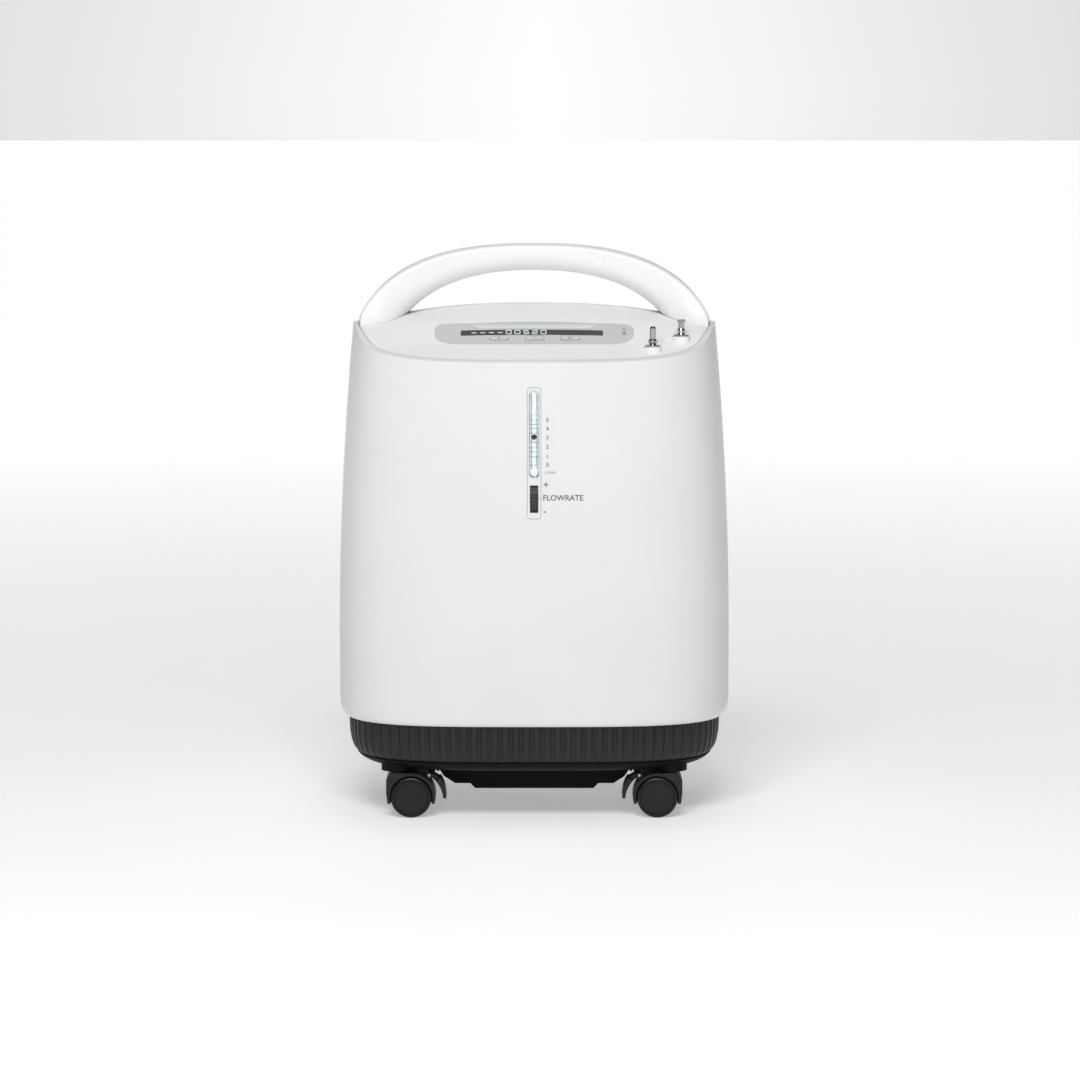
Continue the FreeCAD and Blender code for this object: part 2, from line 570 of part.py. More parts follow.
def make_pan():
    shape = level_loft(PAN_LEVELS, 0)
    floor = [(z + 3.5, a, b) for z, a, b in PAN_LEVELS]
    shape = shape.cut(level_loft(floor, 3.5))
    room = level_loft(SKIRT_HOLLOW, 0.4)
    bosses = []
    for x, y in CORNERS:
        bosses.append(rod(BOSS_RADIUS, (x, y, BOSS_BOTTOM_Z), Z_AXIS, SKIRT_BOTTOM_Z - BOSS_BOTTOM_Z))
        upper = rod(BOSS_RADIUS, (x, y, SKIRT_BOTTOM_Z), Z_AXIS, BOSS_TOP_Z - SKIRT_BOTTOM_Z)
        bosses.append(upper.common(room))
    posts = [rod(7.0, (x, y, 50), Z_AXIS, 14) for x, y in POST_SPOTS]
    shape = shape.fuse(bosses + posts)
    for x, y in CORNERS:
        shape = shape.cut(rod(STEM_RADIUS + RUNNING, (x, y, 40), Z_AXIS, 34))
    for x, y in POST_SPOTS:
        shape = shape.cut(rod(2.1, (x, y, 40), Z_AXIS, 40))
    keep("base_pan", shape)


def make_belly():
    half = [(96, 48), (96, 41), (90, 32), (79, 25), (64, 25), (59, BELLY_BOTTOM_Z)]
    outline = half + [(-x, z) for x, z in reversed(half)]
    face = Part.Face(Part.makePolygon([Vector(x, -58, z) for x, z in outline + outline[:1]]))
    tray = face.extrude(Vector(0, 116, 0))
    keep("belly_cover", tray.cut(box(-90, 90, -54, 54, 42, 49)).cut(box(-56, 56, -54, 54, 24, 43)))


# ---------------------------------------------------------------- casters
def hood_point(radius, degrees):
    """Point around the axle in the caster's own frame; zero degrees looks away from the stem."""
    angle = math.radians(degrees)
    return (-TRAIL - radius * math.cos(angle), WHEEL_RADIUS + radius * math.sin(angle))


def sector(r_in, r_out, start, end, half):
    """Slice of a ring about the axle, between two angles, 2*half wide."""
    def v(radius, degrees):
        x, z = hood_point(radius, degrees)
        return Vector(x, -half, z)
    (in0, in1), (out0, out1) = r_in, r_out
    mid = (start + end) / 2
    edges = [
        Part.Arc(v(out0, start), v((out0 + out1) / 2, mid), v(out1, end)).toShape(),
        Part.LineSegment(v(out1, end), v(in1, end)).toShape(),
        Part.Arc(v(in1, end), v((in0 + in1) / 2, mid), v(in0, start)).toShape(),
        Part.LineSegment(v(in0, start), v(out0, start)).toShape(),
    ]
    return Part.Face(Part.Wire(edges)).extrude(Vector(0, 2 * half, 0))


BRAKE_PIVOT = (27.6, 50.0)  # radius and angle about the axle


def across(radius, x, z, half):
    return rod(radius, (x, -half, z), Y_AXIS, 2 * half)


def caster_hood(brake):
    body = across(HOOD_OUTER, -TRAIL, WHEEL_RADIUS, HOOD_HALF)
    body = body.fuse(rounded_bar_y(-TRAIL, 10, 15, 44.2, 8.5, -HOOD_HALF, HOOD_HALF))
    pivot_x, pivot_z = hood_point(*BRAKE_PIVOT)
    if brake:
        for y0 in (-11.0, 8.0):
            ear = sector((22.5, 22.5), (28.5, 28.5), 43, 57, 1.5)
            ear.translate(Vector(0, y0 + 1.5, 0))
            body = body.fuse(ear).fuse(rod(2.5, (pivot_x, y0, pivot_z), Y_AXIS, 3))
    for y in (-HOOD_HALF - 1, WEB_HALF):
        body = body.cut(rod(HOOD_INNER, (-TRAIL, y, WHEEL_RADIUS), Y_AXIS, HOOD_HALF + 1 - WEB_HALF))
    body = body.cut(box(-60, 20, -30, 30, -10, 13.5))
    body = body.cut(rod(STEM_RADIUS, (0, 0, 22), Z_AXIS, 30))
    body = body.cut(across(AXLE_RADIUS, -TRAIL, WHEEL_RADIUS, 20))
    return body.cut(across(1.2, pivot_x, pivot_z, 20)) if brake else body


def caster_pins(brake):
    stem = rod(STEM_RADIUS, (0, 0, 22), Z_AXIS, 50).fuse(rod(7.0, (0, 0, 44.2), Z_AXIS, 0.9))
    pins = [stem, across(AXLE_RADIUS, -TRAIL, WHEEL_RADIUS, 17)]
    if brake:
        pivot_x, pivot_z = hood_point(*BRAKE_PIVOT)
        pins.append(across(1.2, pivot_x, pivot_z, 11))
    return Part.makeCompound(pins)


def caster_wheel():
    """One wheel of the twin, on the +Y side: rounded tread, thin face groove, blind axle bore."""
    inner, outer = WEB_HALF + 0.6, WEB_HALF + 0.6 + WHEEL_WIDTH
    r, bore = WHEEL_RADIUS, AXLE_RADIUS + RUNNING
    profile = [(bore, inner), (r - 1.4, inner), (r, inner + 1.4), (r, outer - 1.8), (r - 0.5, outer - 0.6),
               (r - 1.6, outer), (r - 2.6, outer), (r - 3.0, outer - 0.5), (r - 3.5, outer - 0.5),
               (r - 3.9, outer), (r - 9, outer + 0.4), (0, outer + 0.5), (0, 17.4), (bore, 17.4)]
    points = [Vector(-TRAIL + radius, y, WHEEL_RADIUS) for radius, y in profile]
    face = Part.Face(Part.makePolygon(points + [points[0]]))
    return face.revolve(Vector(-TRAIL, 0, WHEEL_RADIUS), Y_AXIS, 360)


def brake_pedal():
    claw = sector((31.6, 28.8), (34.5, 34.5), -3, 33, 12)
    arm = sector((28.6, 26.0), (34.5, 30.0), 30, 50, 7.4)
    x, z = hood_point(*BRAKE_PIVOT)
    lever = fuse([claw, arm, across(2.6, x, z, 7.4)])
    return lever.cut(across(1.2 + RUNNING, x, z, 20))


def make_casters():
    hoods = {True: caster_hood(True), False: caster_hood(False)}
    pins = {True: caster_pins(True), False: caster_pins(False)}
    wheel, pedal = caster_wheel(), brake_pedal()
    other = wheel.mirror(Vector(0, 0, 0), Y_AXIS)
    for tag, sx, sy in (("fl", -1, -1), ("fr", 1, -1), ("rl", -1, 1), ("rr", 1, 1)):
        front = sy < 0
        pieces = {f"caster_{tag}_hood": hoods[front], f"caster_{tag}_pins": pins[front],
                  f"caster_{tag}_wheel_front": other, f"caster_{tag}_wheel_rear": wheel}
        if front:
            pieces[f"caster_{tag}_brake"] = pedal
        for name, shape in pieces.items():
            shape = mirror_x(shape) if sx < 0 else shape.copy()
            shape.translate(Vector(sx * STEM_X, sy * STEM_Y, 0))
            keep(name, shape)


# ---------------------------------------------------------------- gas plant
CHASSIS_Z = 64.0
BOX_X, BOX_Y, BOX_Z = (-118.0, 118.0), (-106.0, 42.0), (66.0, 236.0)
PLANT_Y = -32.0  # compressor and fan centre
CRANK_X = 67.0
FAN_Z = 236.0


def make_chassis():
    plate = Part.Face(superellipse(165, 122, CHASSIS_Z)).extrude(Vector(0, 0, 2))
    for x, y in CORNERS:
        plate = plate.cut(rod(BOSS_RADIUS + 1, (x, y, 60), Z_AXIS, 10))
    for x, y in POST_SPOTS:
        plate = plate.cut(rod(2.1, (x, y, 60), Z_AXIS, 10))
    for x in (-40.0, 40.0):
        plate = plate.cut(rounded_bar_z(x - 20, x + 20, PLANT_Y - 8, PLANT_Y + 8, 7.9, 60, 70))
    keep("chassis_plate", plate)


def make_screws():
    screws = []
    for x, z in SCREW_SPOTS:
        y = back_y(x, z) - SCREW_SEAT
        head = rod(4.2, (x, y, z), Y_AXIS, 2.4)
        slot = box(x - 0.5, x + 0.5, y + 1.2, y + 3, z - 2.6, z + 2.6)
        cross = box(x - 2.6, x + 2.6, y + 1.2, y + 3, z - 0.5, z + 0.5)
        screws.append(head.fuse(rod(2.0, (x, y - 16, z), Y_AXIS, 16)).cut(slot).cut(cross))
    for x, y in POST_SPOTS:
        head = rod(4.2, (x, y, 45.6), Z_AXIS, 2.4).cut(box(x - 2.6, x + 2.6, y - 0.5, y + 0.5, 45, 46.8))
        screws.append(head.fuse(rod(2.0, (x, y, 48), Z_AXIS, 17.8)))
    keep("case_screws", Part.makeCompound(screws))


def make_acoustic_box():
    (x0, x1), (y0, y1), (z0, z1) = BOX_X, BOX_Y, BOX_Z
    wall = 5.0
    body = box(x0, x1, y0, y1, z0, z1).cut(box(x0 + wall, x1 - wall, y0 + wall, y1 - wall, z0 - 1, z1 - wall))
    body = body.cut(rod(53, (0, PLANT_Y, z1 - 10), Z_AXIS, 20))
    for x in (-CRANK_X, CRANK_X):
        body = body.cut(rod(6, (x, PLANT_Y, z1 - 10), Z_AXIS, 20))
    keep("acoustic_box", body.cut(rod(12.5, (x0 - 1, -5, 200), X_AXIS, 10)))


MOTOR_Z = 130.0


def make_compressor():
    """Twin-head piston pump: motor between two crankcases, a finned head on each, all on four rubber mounts."""
    motor = tube(42, 33, (-50, PLANT_Y, MOTOR_Z), X_AXIS, 100)
    body, heads = [motor], []
    for side in (-1, 1):
        x = side * CRANK_X
        case = box(x - 17, x + 17, PLANT_Y - 38, PLANT_Y + 38, 92, 168)
        inner = min(side * 50, side * 80)
        case = case.cut(rod(28, (inner, PLANT_Y, MOTOR_Z), X_AXIS, 30))
        body.append(case.cut(rod(5.0 + RUNNING, (x - 20, PLANT_Y, MOTOR_Z), X_AXIS, 40)))
        for y in (PLANT_Y - 28, PLANT_Y + 28):
            body.append(rod(6, (x, y, 86), Z_AXIS, 6))
        head = [rod(16, (x, PLANT_Y, 168), Z_AXIS, 34), rod(3.2, (x, PLANT_Y, 202), Z_AXIS, 6)]
        head += [box(x - 22, x + 22, PLANT_Y - 24, PLANT_Y + 24, z, z + 2.2) for z in (172, 177, 182, 187, 192)]
        head.append(box(x - 20, x + 20, PLANT_Y - 22, PLANT_Y + 22, 197, 203))
        heads.append(fuse(head))
    keep("compressor_body", fuse(body))
    keep("compressor_heads", Part.makeCompound(heads))
    rotor = [rod(5, (-106, PLANT_Y, MOTOR_Z), X_AXIS, 212), rod(30.5, (-40, PLANT_Y, MOTOR_Z), X_AXIS, 80)]
    for x0 in (-102.0, 90.0):
        rotor.append(rod(11, (x0, PLANT_Y, MOTOR_Z), X_AXIS, 12))
        for i in range(6):
            blade = box(x0, x0 + 12, PLANT_Y - 1, PLANT_Y + 1, MOTOR_Z + 8, MOTOR_Z + 33)
            blade.rotate(Vector(x0 + 6, PLANT_Y, MOTOR_Z + 20), Z_AXIS, 28)
            blade.rotate(Vector(0, PLANT_Y, MOTOR_Z), X_AXIS, 60 * i)
            rotor.append(blade)
    keep("compressor_rotor", fuse(rotor))
    mounts = []
    bobbin = [(0, 0), (9, 0), (9, 3), (6, 7), (6, 13), (9, 17), (9, 20), (0, 20)]
    for x in (-CRANK_X, CRANK_X):
        for y in (PLANT_Y - 28, PLANT_Y + 28):
            mounts.append(revolve_z(bobbin, x, y, CHASSIS_Z + 2))
    keep("compressor_mounts", Part.makeCompound(mounts))


def make_fan():
    z0, z1 = FAN_Z, FAN_Z + 25
    frame = rounded_bar_z(-60, 60, PLANT_Y - 60, PLANT_Y + 60, 6, z0, z1).cut(rod(57, (0, PLANT_Y, z0), Z_AXIS, 25))
    hub = rod(17, (0, PLANT_Y, z0), Z_AXIS, 4)
    struts = [hub]
    for i in range(3):
        arm = box(14, 59, PLANT_Y - 2.5, PLANT_Y + 2.5, z0, z0 + 4)
        arm.rotate(Vector(0, PLANT_Y, 0), Z_AXIS, 120 * i + 30)
        struts.append(arm)
    frame = fuse([frame] + struts).cut(rod(2.0 + RUNNING, (0, PLANT_Y, z0 - 1), Z_AXIS, 10))
    for x in (-52.5, 52.5):
        for y in (PLANT_Y - 52.5, PLANT_Y + 52.5):
            frame = frame.cut(rod(2.2, (x, y, z0 - 1), Z_AXIS, 30))
    keep("fan_frame", frame)
    impeller = [rod(19, (0, PLANT_Y, z0 + 5), Z_AXIS, 18), rod(2, (0, PLANT_Y, z0), Z_AXIS, 6)]
    for i in range(7):
        blade = box(16, 54, PLANT_Y - 0.9, PLANT_Y + 0.9, z0 + 5, z0 + 23)
        blade.rotate(Vector(0, PLANT_Y, z0 + 14), X_AXIS, 42)
        blade.rotate(Vector(0, PLANT_Y, 0), Z_AXIS, 360 * i / 7)
        impeller.append(blade)
    keep("fan_impeller", fuse(impeller))


def make_coil():
    """Finned-air serpentine that cools the compressed air over the fan, on its way to the valve block."""
    level, left, right = FAN_Z + 38, -50.0, 50.0
    rows = [PLANT_Y - 44 + 22 * k for k in range(5)]
    route = [(-CRANK_X, PLANT_Y, 208.2), (-CRANK_X, PLANT_Y, level), (-CRANK_X, rows[0], level)]
    for k, y in enumerate(rows):
        ends = (left, right) if k % 2 == 0 else (right, left)
        if k:
            route.append((ends[0], y, level))
        route.append((ends[1], y, level))
    route[-1] = (20, rows[-1], level)
    route += [(20, 50, level), (20, 50, 340), (-57, 50, 340), (-57, 69.8, 340)]
    keep("cooling_coil", pipe(route, 4, 8.5).cut(pipe(route, 2.8, 8.5)))


BED_SPOTS, BED_Y = (-86.0, -20.0), 88.0
TANK_SPOT = (40.0, 86.0)


def make_beds():
    beds = []
    for x in BED_SPOTS:
        body = [rod(29, (x, BED_Y, 66), Z_AXIS, 258), rod(31, (x, BED_Y, 66), Z_AXIS, 9)]
        body += [rod(31, (x, BED_Y, 315), Z_AXIS, 9), rod(5, (x, BED_Y, 323), Z_AXIS, 6.8)]
        beds.append(fuse(body))
    keep("sieve_beds", Part.makeCompound(beds))
    x, y = TANK_SPOT
    tank = [(0, 66), (25, 66), (25, 236), (23.5, 243), (19, 248), (9, 251), (4, 251.5), (4, 258), (0, 258)]
    keep("product_tank", revolve_z(tank, x, y, 0))


def make_valves():
    block = box(-124, 8, 70, 106, 330, 350).fuse(rod(3.5, (8, BED_Y, 340), X_AXIS, 6))
    pieces = [block.fuse([rod(5, (x, BED_Y, 350), Z_AXIS, 4) for x in (-104, -74, -44, -14)])]
    for x in (-104.0, -74.0, -44.0, -14.0):
        pieces.append(tube(11, 5, (x, BED_Y, 350.2), Z_AXIS, 30).fuse(rod(11, (x, BED_Y, 376), Z_AXIS, 6)))
    muffler = [rod(15, (18, BED_Y, 340), X_AXIS, 44), rod(12, (14, BED_Y, 340), X_AXIS, 52)]
    pieces.append(fuse(muffler))
    keep("valve_manifold", Part.makeCompound(pieces))


def make_main_board():
    board = box(150, 151.6, -60, 60, 270, 400)
    parts = [
        box(132, 150, -52, -22, 280, 308), box(138, 150, 8, 30, 286, 330), box(143, 150, 38, 52, 340, 384),
        rod(9, (122, -6, 296), X_AXIS, 28), rod(6, (130, 46, 292), X_AXIS, 20), box(146, 150, -50, -20, 350, 380),
        box(144, 150, -8, 18, 370, 388), box(141, 150, -14, 0, 330, 352),
    ]
    keep("main_board", fuse([board] + parts))


def make_tubing():
    tank_x, tank_y = TANK_SPOT
    ox, oy = OXYGEN_PORT
    nx, ny = NEBULIZER_PORT
    oz, nz = deck_z(ox, oy) + PORT_SEAT - 22.1, deck_z(nx, ny) + PORT_SEAT - 22.1
    routes = [
        [(tank_x, tank_y, 258.1), (tank_x, tank_y, 300), (tank_x, -68, 300), (20, -68, DIAL_Z), (20, -98.4, DIAL_Z)],
        [(0, -111.4, 414), (0, -86, 414), (ox, -86, 414), (ox, oy, 414), (ox, oy, oz)],
        [(CRANK_X, PLANT_Y, 208.2), (CRANK_X, PLANT_Y, 292), (CRANK_X, ny, 292), (nx, ny, 292), (nx, ny, nz)],
    ]
    keep("tubing", Part.makeCompound([pipe(r, 3.5, 10).cut(pipe(r, 2.2, 10)) for r in routes]))


def make_inlet():
    x, z, y = INLET_X, INLET_Z, RECESS_FLOOR_Y
    body = box(x - 13.5, x + 13.5, y - 22, y, z - 9.8, z + 9.8)
    body = body.fuse(rounded_bar_y(x - 17, x + 17, z - 13, z + 13, 3, y, y + 3))
    shaft = rounded_bar_y(x - 11.8, x + 11.8, z - 7.8, z + 7.8, 2, y - 16, y + 5)
    pins = [box(px - 1, px + 1, y - 17, y - 2, pz - 2.2, pz + 2.2) for px, pz in ((x - 7, z - 1), (x + 7, z - 1))]
    pins.append(box(x - 1, x + 1, y - 17, y - 2, z + 0.5, z + 4.9))
    keep("power_inlet", Part.makeCompound([body.cut(shaft).cut(fuse_all(pins))] + pins))
    bx = BREAKER_X
    holder = rod(8, (bx, y - 22, z), Y_AXIS, 22).fuse(rod(9.5, (bx, y, z), Y_AXIS, 2.4))
    keep("circuit_breaker", holder.cut(rod(4.35, (bx, y - 12, z), Y_AXIS, 20)))
    button = rod(4.0, (bx, y - 8, z), Y_AXIS, 13.5)
    keep("breaker_button", button)


def fuse_all(shapes):
    return Part.makeCompound(shapes)


def main():
    wall_ring = cabinet(0).common(under_deck(0)).cut(cabinet(WALL, SHELL_BOTTOM_Z - 2))
    make_front_shell(wall_ring)
    make_rear_shell(wall_ring)
    make_filter()
    make_intake_silencer()
    make_deck()
    make_outlets()
    make_handle()
    make_flow_meter()
    make_skirt()
    make_pan()
    make_belly()
    make_casters()
    make_chassis()
    make_screws()
    make_acoustic_box()
    make_compressor()
    make_fan()
    make_coil()
    make_beds()
    make_valves()
    make_main_board()
    make_tubing()
    make_inlet()
    os.makedirs("parts", exist_ok=True)
    for name, shape in PARTS.items():
        shape.exportStep(os.path.join("parts", name + ".step"))


main()
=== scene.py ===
import bpy
import bmesh
import math
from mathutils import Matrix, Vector


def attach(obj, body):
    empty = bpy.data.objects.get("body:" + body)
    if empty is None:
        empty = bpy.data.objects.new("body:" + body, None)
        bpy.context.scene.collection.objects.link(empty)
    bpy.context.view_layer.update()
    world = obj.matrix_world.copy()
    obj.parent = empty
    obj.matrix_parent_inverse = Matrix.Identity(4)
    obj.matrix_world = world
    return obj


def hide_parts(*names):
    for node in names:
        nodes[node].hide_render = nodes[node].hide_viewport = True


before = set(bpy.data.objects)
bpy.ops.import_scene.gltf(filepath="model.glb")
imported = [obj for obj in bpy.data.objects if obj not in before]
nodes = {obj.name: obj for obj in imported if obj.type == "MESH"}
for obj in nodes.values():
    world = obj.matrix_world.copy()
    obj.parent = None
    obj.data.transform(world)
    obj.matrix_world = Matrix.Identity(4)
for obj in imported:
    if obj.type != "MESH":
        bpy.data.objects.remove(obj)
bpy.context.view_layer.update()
MM = 0.001

# ---------------------------------------------------------------- shape of the cabinet, in mm, as in the CAD
HALF_WIDTH, HALF_DEPTH = 195.0, 140.0
WIDEST_Z, BOW_SPAN = 161.0, 303.0
SIDE_BOW, FACE_BOW = 13.4, 9.0  # how far the sides and faces lean in at the top
POWER = 3.5  # how square the plan is
CROWN_FRONT, CROWN_BACK = 4.0, 21.0  # fall of the deck towards its sides
CROWN_START_Y, CROWN_RUN = -128, 160
CROWN_HALF_WIDTH, CROWN_POWER = 180.0, 2.4
PANEL_TILT = math.radians(34.5)
PRINT_LIFT = 0.12  # printed marks stand this far off their surface


def cabinet_halves(z):
    lean = (max(z - WIDEST_Z, 0) / BOW_SPAN) ** 2
    return HALF_WIDTH - SIDE_BOW * lean, HALF_DEPTH - FACE_BOW * lean


def plan_radius(c, s, a, b):
    """Distance from the middle to a superellipse with half sizes a and b, along the direction c, s."""
    return (abs(c / a) ** POWER + abs(s / b) ** POWER) ** (-1 / POWER)


def front_y(x, z):
    a, b = cabinet_halves(z)
    return -b * (1 - min(abs(x) / a, 0.9999) ** POWER) ** (1 / POWER)


# height of the deck on its centre line at each depth
PROFILE = [(-160, 437), (-128, 452.6), (-112, 460.3), (-98, 467.4), (-84, 477), (-70, 486),
           (-54, 492), (-34, 496.8), (-4, 500.2), (32, 500.2), (62, 498), (100, 492), (160, 478)]


def deck_profile(y):
    last = len(PROFILE) - 1
    i = max(k for k in range(last) if PROFILE[k][0] <= y)
    (y0, z0), (y1, z1) = PROFILE[i], PROFILE[i + 1]

    def slope(k):
        a, b = PROFILE[max(k - 1, 0)], PROFILE[min(k + 1, last)]
        return (b[1] - a[1]) / (b[0] - a[0])

    span, t = y1 - y0, (y - y0) / (y1 - y0)
    rise = 3 * t**2 - 2 * t**3
    leaving = (t**3 - 2 * t**2 + t) * slope(i) * span
    arriving = (t**3 - t**2) * slope(i + 1) * span
    return z0 + (z1 - z0) * rise + leaving + arriving


def deck_z(x, y):
    share = min(1.0, max(0.0, (y - CROWN_START_Y) / CROWN_RUN))
    crown = CROWN_FRONT + (CROWN_BACK - CROWN_FRONT) * share
    return deck_profile(y) - crown * abs(x / CROWN_HALF_WIDTH) ** CROWN_POWER


# ---------------------------------------------------------------- materials
def tree(name):
    """New node material: the material, its tree and its main shader."""
    mat = bpy.data.materials.new(name)
    mat.use_nodes = True
    nt = mat.node_tree
    return mat, nt, nt.nodes["Principled BSDF"]


def noise(nt, scale, detail=4.0, rough=0.55, stretch=None):
    coord = nt.nodes.new("ShaderNodeTexCoord")
    node = nt.nodes.new("ShaderNodeTexNoise")
    node.inputs["Scale"].default_value = scale
    node.inputs["Detail"].default_value = detail
    node.inputs["Roughness"].default_value = rough
    source = coord.outputs["Object"]
    if stretch:
        mapping = nt.nodes.new("ShaderNodeMapping")
        mapping.inputs["Scale"].default_value = stretch
        nt.links.new(source, mapping.inputs["Vector"])
        source = mapping.outputs["Vector"]
    nt.links.new(source, node.inputs["Vector"])
    return node.outputs["Fac"]


def ramp(nt, fac, low, high, start=0.3, end=0.7):
    node = nt.nodes.new("ShaderNodeValToRGB")
    node.color_ramp.elements[0].position = start
    node.color_ramp.elements[0].color = (*low, 1) if len(low) == 3 else low
    node.color_ramp.elements[1].position = end
    node.color_ramp.elements[1].color = (*high, 1) if len(high) == 3 else high
    nt.links.new(fac, node.inputs["Fac"])
    return node.outputs["Color"]


def spread(nt, fac, low, high):
    node = nt.nodes.new("ShaderNodeMapRange")
    node.inputs["From Min"].default_value = 0.3
    node.inputs["From Max"].default_value = 0.7
    node.inputs["To Min"].default_value = low
    node.inputs["To Max"].default_value = high
    nt.links.new(fac, node.inputs["Value"])
    return node.outputs["Result"]


def bump(nt, shader, height, strength, distance, edge=0.0):
    node = nt.nodes.new("ShaderNodeBump")
    node.inputs["Strength"].default_value = strength
    node.inputs["Distance"].default_value = distance
    nt.links.new(height, node.inputs["Height"])
    if edge:
        soft = nt.nodes.new("ShaderNodeBevel")
        soft.samples = 6
        soft.inputs["Radius"].default_value = edge
        nt.links.new(soft.outputs["Normal"], node.inputs["Normal"])
    nt.links.new(node.outputs["Normal"], shader.inputs["Normal"])


def plastic(
    name, low, high, rough, grain=900.0, cloud=9.0, depth=0.00004, strength=0.35, specular=0.5, edge=0.0,
):
    """Moulded plastic: faint cloudy tone, uneven gloss and a fine moulded grain."""
    mat, nt, bsdf = tree(name)
    tone = noise(nt, cloud, 5.0)
    nt.links.new(ramp(nt, tone, low, high), bsdf.inputs["Base Color"])
    nt.links.new(spread(nt, noise(nt, cloud * 6, 6.0, 0.65), rough[0], rough[1]), bsdf.inputs["Roughness"])
    bsdf.inputs["Specular IOR Level"].default_value = specular
    bump(nt, bsdf, noise(nt, grain, 3.0, 0.6), strength, depth, edge)
    return mat


def metal(name, low, high, rough, stretch=(1, 1, 1), scale=60.0, depth=0.00003):
    """Bare metal with fine, stretched machining marks in its colour and gloss."""
    mat, nt, bsdf = tree(name)
    fine = noise(nt, scale, 6.0, 0.6, stretch)
    nt.links.new(ramp(nt, fine, low, high), bsdf.inputs["Base Color"])
    bsdf.inputs["Metallic"].default_value = 1.0
    nt.links.new(spread(nt, fine, rough[0], rough[1]), bsdf.inputs["Roughness"])
    bump(nt, bsdf, fine, 0.25, depth)
    return mat


white = plastic("white_shell", (0.80, 0.81, 0.825), (0.83, 0.838, 0.85), (0.30, 0.38), edge=0.0015)
deck_white = plastic("white_deck", (0.93, 0.94, 0.95), (0.95, 0.957, 0.964), (0.28, 0.36), edge=0.0010)
handle_white = plastic("white_handle", (0.90, 0.91, 0.92), (0.925, 0.933, 0.942), (0.26, 0.34), edge=0.0006)
grey_panel = plastic("grey_panel", (0.63, 0.64, 0.65), (0.67, 0.68, 0.69), (0.20, 0.28), grain=1500.0)
key_face = plastic("key_face", (0.70, 0.71, 0.72), (0.74, 0.75, 0.76), (0.24, 0.32), grain=1500.0)
print_grey = plastic("print_grey", (0.10, 0.105, 0.11), (0.13, 0.135, 0.14), (0.45, 0.55))
print_soft = plastic("print_soft", (0.30, 0.31, 0.32), (0.35, 0.36, 0.37), (0.45, 0.55))
black_base = plastic(
    "black_base", (0.008, 0.0085, 0.0095), (0.012, 0.0125, 0.0135),
    (0.40, 0.52), grain=1400.0, depth=0.00008, specular=0.4,
)
# Deeper black than black_base: the pan's black plastic, darkened further as painted shade for the shaded
# band below the ribs
black_belly_painted_shade = plastic(
    "black_belly_painted_shade", (0.0025, 0.0027, 0.003), (0.004, 0.0042, 0.0046),
    (0.5, 0.62), grain=1200.0, specular=0.12,
)
black_hood = plastic(
    "black_hood", (0.006, 0.0065, 0.007), (0.010, 0.0105, 0.0115),
    (0.36, 0.48), grain=1500.0, specular=0.35,
)
black_wheel = plastic(
    "black_wheel", (0.006, 0.0065, 0.0075), (0.010, 0.0105, 0.012),
    (0.32, 0.45), grain=1300.0, specular=0.3,
)
black_dial = plastic("black_dial", (0.018, 0.018, 0.020), (0.030, 0.030, 0.033), (0.35, 0.5), grain=1500.0)
ball_black = plastic(
    "ball_black", (0.002, 0.002, 0.0025), (0.004, 0.004, 0.005),
    (0.15, 0.25), specular=0.2,
)
chrome = metal("polished_fitting", (0.38, 0.39, 0.40), (0.52, 0.53, 0.54), (0.08, 0.18))
steel = metal("turned_steel", (0.42, 0.42, 0.43), (0.55, 0.55, 0.56), (0.25, 0.4), (1, 1, 8))
grey_inner = plastic("grey_inner", (0.12, 0.12, 0.13), (0.17, 0.17, 0.18), (0.5, 0.6))
alu = metal("cast_aluminium", (0.42, 0.43, 0.44), (0.56, 0.57, 0.58), (0.35, 0.5), scale=90.0)
rubber = plastic("silicone_rubber", (0.55, 0.55, 0.52), (0.62, 0.62, 0.59), (0.4, 0.5))
dark_rubber = plastic("dark_rubber", (0.02, 0.02, 0.02), (0.03, 0.03, 0.03), (0.6, 0.75))
foam = plastic(
    "open_foam", (0.02, 0.02, 0.024), (0.07, 0.07, 0.08),
    (0.85, 0.95), grain=500.0, cloud=260.0, depth=0.0006, strength=0.9,
)
board_green = plastic("board_green", (0.012, 0.07, 0.03), (0.02, 0.10, 0.045), (0.3, 0.45), cloud=60.0)
red_button = plastic("red_button", (0.45, 0.02, 0.015), (0.52, 0.03, 0.02), (0.3, 0.4))


def make_glass(name, tint, rough):
    """Thin clear plastic, which barely bends what is seen through it."""
    mat, nt, bsdf = tree(name)
    tone = noise(nt, 40.0, 3.0)
    nt.links.new(ramp(nt, tone, tint[0], tint[1]), bsdf.inputs["Base Color"])
    nt.links.new(spread(nt, noise(nt, 200.0, 4.0), rough[0], rough[1]), bsdf.inputs["Roughness"])
    bsdf.inputs["Transmission Weight"].default_value = 0.97
    bsdf.inputs["IOR"].default_value = 1.12
    return mat


clear = make_glass("clear_tube", ((0.93, 0.985, 0.985), (0.97, 0.995, 0.995)), (0.01, 0.03))


def make_display():
    """Tinted display window: near-black with a faint brown-grey depth."""
    mat, nt, bsdf = tree("display_window")
    tone = ramp(nt, noise(nt, 30.0, 4.0), (0.040, 0.042, 0.045), (0.060, 0.062, 0.066))
    nt.links.new(tone, bsdf.inputs["Base Color"])
    nt.links.new(spread(nt, noise(nt, 300.0, 3.0), 0.16, 0.24), bsdf.inputs["Roughness"])
    bsdf.inputs["Coat Weight"].default_value = 0.3
    return mat


display = make_display()


def make_glow(name, colour, strength):
    """Lit surface with a slightly uneven tint."""
    mat, nt, bsdf = tree(name)
    tint = ramp(nt, noise(nt, 500.0, 2.0), tuple(0.9 * c for c in colour), colour)
    nt.links.new(tint, bsdf.inputs["Base Color"])
    nt.links.new(tint, bsdf.inputs["Emission Color"])
    bsdf.inputs["Emission Strength"].default_value = strength
    bsdf.inputs["Roughness"].default_value = 0.5
    return mat


